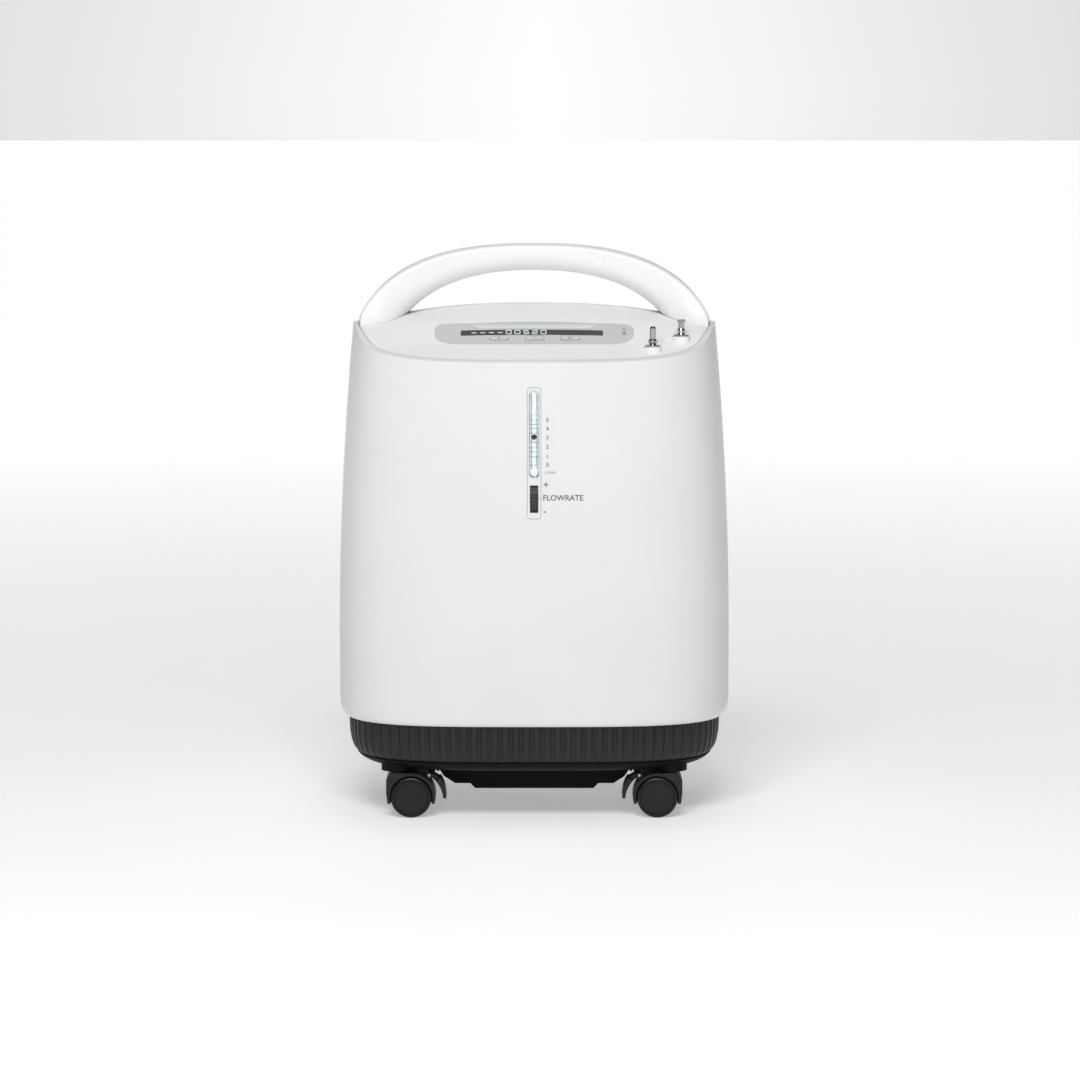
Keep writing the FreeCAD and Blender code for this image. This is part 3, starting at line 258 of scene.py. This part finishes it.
digit_glow = make_glow("digit_glow", (0.62, 0.68, 0.70), 0.35)
# painted light: the flow tube's strips glow though nothing there is a lamp; they stand in for light passing
# through the clear tube
tube_painted_glow = make_glow("tube_painted_glow", (0.86, 0.92, 0.93), 0.62)
tube_core_painted_glow = make_glow("tube_core_painted_glow", (0.94, 0.985, 0.985), 0.88)

PAINT = {
    "front_shell": white, "rear_shell": white, "filter_door": white, "flow_bezel": white,
    "top_cover": deck_white, "handle_front": handle_white, "handle_rear": handle_white,
    "control_panel": grey_panel, "lcd_window": display, "display_board": board_green,
    "flow_tube": clear, "flow_valve_body": grey_inner, "oxygen_outlet": chrome,
    "nebulizer_outlet": chrome, "foam_filter": foam, "intake_silencer": grey_inner,
    # base_pan takes the darker belly black as painted shade under the ribs
    "power_inlet": black_base, "circuit_breaker": black_base, "breaker_button": red_button,
    "base_skirt": black_base, "base_pan": black_belly_painted_shade, "belly_cover": black_belly_painted_shade,
    "case_screws": steel, "chassis_plate": steel, "acoustic_box": grey_inner, "compressor_body": alu,
    "compressor_heads": alu, "compressor_rotor": steel, "compressor_mounts": dark_rubber,
    "fan_frame": black_base, "fan_impeller": black_base, "cooling_coil": alu, "sieve_beds": alu,
    "product_tank": rubber, "valve_manifold": alu, "main_board": board_green, "tubing": rubber,
    "key_timer_up": key_face, "key_timer_down": key_face, "key_power": key_face,
    "flow_wheel": black_dial, "flow_ball": ball_black,
}
for name, obj in nodes.items():
    mat = PAINT.get(name)
    if mat is None:
        mat = steel if name.endswith("_pins") else black_wheel if "_wheel_" in name else black_hood
    obj.data.materials.clear()
    obj.data.materials.append(mat)


# ---------------------------------------------------------------- mesh helpers
def mesh_object(name, verts, faces, mat, body="cabinet", smooth=None):
    mesh = bpy.data.meshes.new(name)
    mesh.from_pydata([tuple(c * MM for c in v) for v in verts], [], faces)
    mesh.update()
    obj = bpy.data.objects.new(name, mesh)
    bpy.context.scene.collection.objects.link(obj)
    mesh.materials.append(mat)
    if smooth is not None:
        bpy.ops.object.select_all(action="DESELECT")
        obj.select_set(True)
        bpy.context.view_layer.objects.active = obj
        bpy.ops.object.shade_smooth_by_angle(angle=math.radians(smooth))
    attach(obj, body)
    return obj


def prism_faces(n):
    """Faces of a closed prism whose vertices are two rings of n."""
    faces = [tuple(range(n)), tuple(range(2 * n - 1, n - 1, -1))]
    for i in range(n):
        j = (i + 1) % n
        faces.append((i, i + n, j + n, j))
    return faces


def plate_from_outline(points, place, thickness):
    """Closed outline (x, z) placed on a surface at two lifts, as top, sides and back."""
    verts = [place(x, z, thickness) for x, z in points] + [place(x, z, -0.05) for x, z in points]
    return verts, prism_faces(len(points))


def bar(cx, cz, w, h, r=None):
    """Rounded rectangle outline, counter-clockwise."""
    r = min(w, h) / 2 * 0.98 if r is None else r
    pts = []
    for sx, sz, start in ((1, 1, 0), (-1, 1, 90), (-1, -1, 180), (1, -1, 270)):
        for k in range(5):
            a = math.radians(start + 22.5 * k)
            pts.append((cx + sx * (w / 2 - r) + r * math.cos(a), cz + sz * (h / 2 - r) + r * math.sin(a)))
    return pts


def flat_ring(name, outer, inner, lift, mat, body="cabinet"):
    """Flat band on the deck between two outlines with as many points each."""
    n = len(outer)
    verts = [place_deck(a, b, lift) for a, b in outer + inner]
    faces = [(i, (i + 1) % n, n + (i + 1) % n, n + i) for i in range(n)]
    return mesh_object(name, verts, faces, mat, body)


def gather(name, outlines, place, thickness, mat, body="cabinet"):
    """Several plates joined into one object."""
    verts, faces = [], []
    for points in outlines:
        v, f = plate_from_outline(points, place, thickness)
        base = len(verts)
        verts += v
        faces += [tuple(i + base for i in face) for face in f]
    return mesh_object(name, verts, faces, mat, body)


def lettering(name, text, size, x, z, place, thickness, mat, body="cabinet"):
    """Flat printed text, laid on a surface by place(x, z, lift)."""
    curve = bpy.data.curves.new(name, "FONT")
    curve.body = text
    curve.size = size
    curve.align_x = "LEFT"
    curve.align_y = "CENTER"
    curve.resolution_u = 3
    curve.offset = 0.012 * size
    obj = bpy.data.objects.new(name, curve)
    bpy.context.scene.collection.objects.link(obj)
    bpy.context.view_layer.update()
    mesh = bpy.data.meshes.new_from_object(obj)
    bpy.data.objects.remove(obj)
    bm = bmesh.new()
    bm.from_mesh(mesh)
    bmesh.ops.recalc_face_normals(bm, faces=bm.faces)
    for vert in bm.verts:
        vert.co = Vector(place(vert.co.x + x, vert.co.y + z, thickness)) * MM
    bm.to_mesh(mesh)
    bm.free()
    mesh.name = name
    out = bpy.data.objects.new(name, mesh)
    bpy.context.scene.collection.objects.link(out)
    mesh.materials.clear()
    mesh.materials.append(mat)
    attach(out, body)
    return out


def place_front(x, z, lift):
    return (x, front_y(x, z) - lift, z)


def place_deck(x, y, lift):
    """Point on the deck at plan x, y, raised along the panel's normal."""
    return (x, y - lift * math.sin(PANEL_TILT), deck_z(x, y) + lift * math.cos(PANEL_TILT))


# ---------------------------------------------------------------- ribbed skirt
RIB_COUNT = 108
GROOVE_DEPTH = 1.8
SKIRT_WIDE = (186.0, 134.0)
SKIRT_FOOT = (178.0, 131.5)
SKIRT_TOP_Z, SKIRT_BOTTOM_Z = 93.5, 57.0
SKIRT_LEVELS = [
    (SKIRT_BOTTOM_Z, *SKIRT_FOOT), (59.5, 179.9, 132.2), (62.0, 181.5, 132.8), (65.0, 182.8, 133.2),
    (68.0, 183.7, 133.5), (72.0, 184.5, 133.75), (76.0, 185.2, 133.9), (84.0, 185.6, 134.0),
    (SKIRT_TOP_Z, *SKIRT_WIDE),
]
RIB_SECTION = [  # share of one rib's pitch, and height against the crest
    (0.00, -0.30), (0.04, -0.08), (0.10, 0.0), (0.25, 0.0), (0.40, 0.0), (0.46, -0.08), (0.50, -0.30),
    (0.57, -0.95), (0.66, -1.6), (0.75, -GROOVE_DEPTH), (0.84, -1.6), (0.93, -0.95),
]


def rib_ring():
    """Angle, depth and outward direction of each point of the rib section, evenly spaced round the plan."""
    steps = RIB_COUNT * 40
    curve = []
    for i in range(steps + 1):
        t = 2 * math.pi * i / steps
        c, s = math.cos(t), math.sin(t)
        r = plan_radius(c, s, *SKIRT_WIDE)
        curve.append((r * c, r * s))
    run = [0.0]
    for p, q in zip(curve, curve[1:]):
        run.append(run[-1] + math.hypot(q[0] - p[0], q[1] - p[1]))
    ring = []
    index = 0
    for rib in range(RIB_COUNT):
        for share, depth in RIB_SECTION:
            goal = run[-1] * (rib + share) / RIB_COUNT
            while run[index + 1] < goal:
                index += 1
            p, q = curve[index], curve[index + 1]
            length = math.hypot(q[0] - p[0], q[1] - p[1])
            t = (goal - run[index]) / length
            x, y = p[0] + (q[0] - p[0]) * t, p[1] + (q[1] - p[1]) * t
            ring.append((math.atan2(y, x), depth, ((q[1] - p[1]) / length, -(q[0] - p[0]) / length)))
    return ring


def make_skirt():
    """Ribbed band; its grooves run out at the foot, and a flat ring closes it above and below."""
    ring = rib_ring()
    n = len(ring)
    fade = {SKIRT_BOTTOM_Z: 1.0, 59.5: 0.35}
    verts, faces = [], []
    for z, a, b in SKIRT_LEVELS:
        share = fade.get(z, 0.0)
        drop = 0.3 if z == SKIRT_TOP_Z else 0.0
        for angle, depth, (nx, ny) in ring:
            c, s = math.cos(angle), math.sin(angle)
            r = plan_radius(c, s, a, b)
            d = depth * (1 - share) - GROOVE_DEPTH * share - drop
            verts.append((r * c + nx * d, r * s + ny * d, z))
    for z, (a, b), inset in ((SKIRT_TOP_Z, SKIRT_WIDE, 4.0), (SKIRT_BOTTOM_Z, SKIRT_FOOT, 5.0)):
        for angle, _depth, _normal in ring:
            c, s = math.cos(angle), math.sin(angle)
            r = plan_radius(c, s, a - inset, b - inset)
            verts.append((r * c, r * s, z))
    rows = len(SKIRT_LEVELS)
    for k in range(rows - 1):
        for i in range(n):
            j = (i + 1) % n
            faces.append((k * n + i, k * n + j, (k + 1) * n + j, (k + 1) * n + i))
    for i in range(n):
        j = (i + 1) % n
        faces.append(((rows - 1) * n + i, (rows - 1) * n + j, rows * n + j, rows * n + i))
        faces.append((j, i, (rows + 1) * n + i, (rows + 1) * n + j))
    skirt = mesh_object("ribbed_skirt", verts, faces, black_base, smooth=35)
    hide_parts("base_skirt")


make_skirt()


# ---------------------------------------------------------------- flow meter marks
NUMBER_HEIGHTS = [("5", 395.0), ("4", 386.5), ("3", 377.8), ("2", 369.0), ("1", 359.5), ("0", 351.4)]
NUMBER_X, SIGN_X = 11.6, 8.9
TUBE_MARK_HEIGHTS = [400.0, 395.2, 390.8, 386.8, 382.4, 373.5, 369.0, 364.3, 359.5, 351.4]
TUBE_MIDDLE_Z = 381.0


def make_meter_marks():
    """Scale numbers, the unit, and the words and signs beside the dial."""
    for text, z in NUMBER_HEIGHTS:
        lettering("scale_" + text, text, 5.4, NUMBER_X, z, place_front, PRINT_LIFT, print_grey)
    lettering("scale_unit", "L/min", 4.6, 10.6, 344.3, place_front, PRINT_LIFT, print_soft)
    lettering("flow_plus", "+", 9.0, SIGN_X, 332.0, place_front, PRINT_LIFT, print_grey)
    lettering("flow_minus", "-", 9.0, SIGN_X, 306.6, place_front, PRINT_LIFT, print_grey)
    lettering("flow_word", "FLOWRATE", 7.6, 8.4, 319.3, place_front, PRINT_LIFT, print_grey)


def tube_front(x, z, lift):
    half_depth = cabinet_halves(z)[1]
    return (x, -(half_depth - 0.2) - lift, z)


def make_tube_marks():
    outlines = [bar(0, z, 8.2, 0.75, 0.3) for z in TUBE_MARK_HEIGHTS]
    gather("tube_marks", outlines, tube_front, 0.1, print_soft)


def make_tube_backing():
    """Glowing strip behind the clear tube, with a brighter core: painted light standing in for the light
    seen through the tube.
    """
    for name, outline, front, back, mat in (
        ("tube_backing_painted_glow", bar(0, TUBE_MIDDLE_Z, 8.6, 85.0), -120.98, -120.94, tube_painted_glow),
        ("tube_core_strip", bar(0, TUBE_MIDDLE_Z, 5.2, 80.0), -121.02, -120.985, tube_core_painted_glow),
    ):
        verts = [(x, y, z) for y in (front, back) for x, z in outline]
        mesh_object(name, verts, prism_faces(len(outline)), mat)


make_meter_marks()
make_tube_marks()
make_tube_backing()


# ---------------------------------------------------------------- deck marks
SEGMENTS = {"0": "abcdef", "2": "abged", "5": "afgcd"}
KEY_Y = -91.5
KEY_SIGNS = ((-34.3, "key_timer_up", "plus"), (0.5, "key_timer_down", "minus"), (35.0, "key_power", "power"))
KEY_PRINT_LIFT = 0.82
DIGIT_Y = -83.6


def segment_bars(char, cx, cy, w, h, t):
    """Bars of one seven-segment digit of width w and height h, with strokes t wide."""
    spots = {
        "a": (0, h / 2, w, t), "g": (0, 0, w, t), "d": (0, -h / 2, w, t),
        "f": (-w / 2, h / 4, t, h / 2), "b": (w / 2, h / 4, t, h / 2),
        "e": (-w / 2, -h / 4, t, h / 2), "c": (w / 2, -h / 4, t, h / 2),
    }
    bars = []
    for key in SEGMENTS[char]:
        dx, dy, long, high = spots[key]
        bars.append(bar(cx + dx, cy + dy, long * 0.96, high * 0.96, 0.2))
    return bars


def make_display_digits():
    """Four dashes and five digits in the display window."""
    outlines = []
    for k, char in enumerate("00520"):
        outlines += segment_bars(char, -24.9 + 8.5 * k, DIGIT_Y, 5.0, 4.4, 0.95)
    for k in range(4):
        outlines.append(bar(-59.0 + 8.6 * k, DIGIT_Y - 0.3, 5.0, 1.0, 0.3))
    gather("display_digits", outlines, place_deck, PRINT_LIFT, digit_glow)


def make_key_marks():
    """Outline and sign printed on each key; the power sign is a bar in an open ring."""
    for x, name, kind in KEY_SIGNS:
        outer, inner = bar(x, KEY_Y, 17.6, 5.0), bar(x, KEY_Y, 16.8, 4.2)
        flat_ring(name + "_outline", outer, inner, KEY_PRINT_LIFT, print_soft, name)
        if kind == "power":
            shapes = [bar(x, KEY_Y + 0.8, 0.6, 1.8, 0.25)]
        else:
            shapes = [bar(x, KEY_Y, 3.6, 0.6, 0.25)]
        if kind == "plus":
            shapes.append(bar(x, KEY_Y, 0.7, 3.0, 0.25))
        gather(name + "_mark", shapes, lambda a, b, l: place_deck(a, b, l + 0.72), 0.1, print_soft, name)
    verts, faces = [], []
    x, steps = KEY_SIGNS[-1][0], 16
    for k in range(steps + 1):
        t = math.radians(120 + 300 * k / steps)
        for r in (1.3, 1.9):
            arc_y = KEY_Y - 0.1 + 0.75 * r * math.sin(t)
            verts.append(place_deck(x + r * math.cos(t), arc_y, KEY_PRINT_LIFT))
    for k in range(steps):
        faces.append((2 * k, 2 * k + 1, 2 * k + 3, 2 * k + 2))
    mesh_object("key_power_arc", verts, faces, print_soft, "key_power")


def painted_brow_shade():
    """Painted shade: white that darkens towards the top, standing in for the shade in the hollow above the
    display.
    """
    mat, nt, bsdf = tree("brow_painted_shade")
    coord = nt.nodes.new("ShaderNodeTexCoord")
    axes = nt.nodes.new("ShaderNodeSeparateXYZ")
    nt.links.new(coord.outputs["Object"], axes.inputs["Vector"])
    span = nt.nodes.new("ShaderNodeMapRange")
    span.inputs["From Min"].default_value = 0.4806
    span.inputs["From Max"].default_value = 0.4868
    nt.links.new(axes.outputs["Z"], span.inputs["Value"])
    # painted shade: the ramp greys the sheet towards its top edge, where the hollow lies in shade
    shade = ramp(nt, span.outputs["Result"], (0.80, 0.81, 0.82), (0.52, 0.53, 0.54), 0.25, 1.0)
    nt.links.new(shade, bsdf.inputs["Base Color"])
    nt.links.new(spread(nt, noise(nt, 60.0), 0.3, 0.4), bsdf.inputs["Roughness"])
    bump(nt, bsdf, noise(nt, 900.0, 3.0), 0.35, 0.00004)
    return mat


def make_brow():
    """Lens-shaped sheet between the deck and the dip in the panel's rear edge, carrying painted shade for
    the hollow there.
    """
    verts, faces = [], []
    columns, rows = 80, 8
    for i in range(columns + 1):
        x = -65.0 + 130.0 * i / columns
        t = min(1.0, max(0.0, (abs(x) - 48.0) / 23.0))
        low = -77.9 + 8.9 * (3 * t * t - 2 * t**3)
        high = max(low, -69.0 - 1.5 * (x / 61.0) ** 2)
        for j in range(rows + 1):
            y = low + (high - low) * j / rows
            verts.append(place_deck(x, y, 0.06 + 0.25 * math.sin(math.pi * j / rows) * (high - low) / 9.0))
    for i in range(columns):
        for j in range(rows):
            a = i * (rows + 1) + j
            faces.append((a, a + rows + 1, a + rows + 2, a + 1))
    mesh_object("display_brow_painted_shade", verts, faces, painted_brow_shade(), smooth=60)


def make_panel_icon():
    """Small padlock sign at the right-hand end of the panel."""
    x = 88.2
    flat_ring("panel_lock_ring", bar(x, -78.2, 3.4, 4.6), bar(x, -78.2, 2.2, 3.4), PRINT_LIFT, print_soft)
    gather("panel_lock_body", [bar(x, -83.4, 3.6, 3.4, 0.6)], place_deck, PRINT_LIFT, print_soft)


def make_port_dimple():
    """Floor of the shallow dimple between the two ports."""
    x, y, sink, radius, sides = 130.2, -91.0, 0.9, 4.95, 32
    verts = []
    for drop in (sink, sink + 0.4):
        for i in range(sides):
            angle = 2 * math.pi * i / sides
            rim_x, rim_y = x + radius * math.cos(angle), y + radius * math.sin(angle)
            verts.append((rim_x, rim_y, deck_z(rim_x, rim_y) - drop))
    mesh_object("port_dimple_floor", verts, prism_faces(sides), deck_white)


make_port_dimple()
make_display_digits()
make_key_marks()
make_brow()
make_panel_icon()

# ---------------------------------------------------------------- stage, light, camera
def floor_paint():
    """Pale matt floor, which glows a little more the farther it is from the object."""
    mat = plastic(
        "studio_floor_paint", (0.86, 0.86, 0.86), (0.88, 0.88, 0.88), (0.55, 0.65), grain=200.0, cloud=2.0,
    )
    nt = mat.node_tree
    shader = nt.nodes["Principled BSDF"]
    shader.inputs["Emission Color"].default_value = (1, 1, 1, 1)
    place = nt.nodes.new("ShaderNodeTexCoord")
    distance = nt.nodes.new("ShaderNodeVectorMath")
    distance.operation = "LENGTH"
    lift = nt.nodes.new("ShaderNodeMapRange")
    lift.inputs["From Min"].default_value = 0.5
    lift.inputs["From Max"].default_value = 4.0
    lift.inputs["To Min"].default_value = 0.37
    lift.inputs["To Max"].default_value = 0.74
    nt.links.new(place.outputs["Object"], distance.inputs[0])
    nt.links.new(distance.outputs["Value"], lift.inputs["Value"])
    nt.links.new(lift.outputs["Result"], shader.inputs["Emission Strength"])
    return mat


bpy.ops.mesh.primitive_plane_add(size=100, location=(0, 0, 0))
floor = bpy.context.active_object
floor.name = "studio_floor"
floor.data.materials.append(floor_paint())


def sky_ramp(nt, coordinate, stops):
    """Grey level of the studio along one axis, from -1 to 1."""
    span = nt.nodes.new("ShaderNodeMapRange")
    span.inputs["From Min"].default_value = -1.0
    nt.links.new(coordinate, span.inputs["Value"])
    node = nt.nodes.new("ShaderNodeValToRGB")
    elements = node.color_ramp.elements
    while len(elements) < len(stops):
        elements.new(0.5)
    for element, (place, level) in zip(elements, stops):
        element.position = place
        element.color = (level, level, level, 1)
    nt.links.new(span.outputs["Result"], node.inputs["Fac"])
    return node.outputs["Color"]


def make_world():
    """Studio that is bright before and behind the object, dark at its sides and dimmer overhead."""
    world = bpy.data.worlds.new("studio")
    bpy.context.scene.world = world
    world.use_nodes = True
    nt = world.node_tree
    direction = nt.nodes.new("ShaderNodeTexCoord")
    axes = nt.nodes.new("ShaderNodeSeparateXYZ")
    nt.links.new(direction.outputs["Generated"], axes.inputs["Vector"])
    side_stops = [(0.0, 0.0), (0.25, 0.16), (0.5, 1.12), (0.75, 0.10), (1.0, 0.0)]
    across = sky_ramp(nt, axes.outputs["X"], side_stops)
    upward = sky_ramp(nt, axes.outputs["Z"], [(0.0, 0.8), (0.5, 1.0), (0.7, 0.75), (1.0, 0.55)])
    blend = nt.nodes.new("ShaderNodeMix")
    blend.data_type = "RGBA"
    blend.blend_type = "MULTIPLY"
    blend.inputs["Factor"].default_value = 1.0
    nt.links.new(across, blend.inputs[6])  # sockets 6, 7 and 2 are the colour ones
    nt.links.new(upward, blend.inputs[7])
    nt.links.new(blend.outputs[2], nt.nodes["Background"].inputs["Color"])
    nt.nodes["Background"].inputs["Strength"].default_value = 0.9


def make_key_light():
    light = bpy.data.lights.new("key_light", "AREA")
    light.shape = "RECTANGLE"
    light.size, light.size_y = 1.3, 1.0
    light.energy = 54
    lamp = bpy.data.objects.new("key_light", light)
    lamp.location = (-0.2, -2.3, 2.5)
    aim = Vector((0, 0, 0.3)) - Vector(lamp.location)
    lamp.rotation_euler = aim.to_track_quat("-Z", "Y").to_euler()
    bpy.context.scene.collection.objects.link(lamp)


def make_camera():
    """Long lens level with the object's middle, looking slightly down."""
    pitch, distance = math.radians(6.5), 4.0
    focal_length, image_width = 3974, 1080  # both in the same unit, so their ratio sets the lens
    lens_data = bpy.data.cameras.new("camera")
    camera = bpy.data.objects.new("camera", lens_data)
    bpy.context.scene.collection.objects.link(camera)
    target = Vector((0.0057, 0.0, 0.2628))
    camera.location = target + distance * Vector((0, -math.cos(pitch), math.sin(pitch)))
    camera.rotation_euler = (target - camera.location).to_track_quat("-Z", "Y").to_euler()
    lens_data.sensor_width = 36
    lens_data.lens = 36 * focal_length / image_width
    lens_data.clip_end = 60
    bpy.context.scene.camera = camera


make_world()
make_key_light()
make_camera()
bpy.context.scene.view_settings.view_transform = "Standard"
bpy.context.scene.render.film_transparent = False
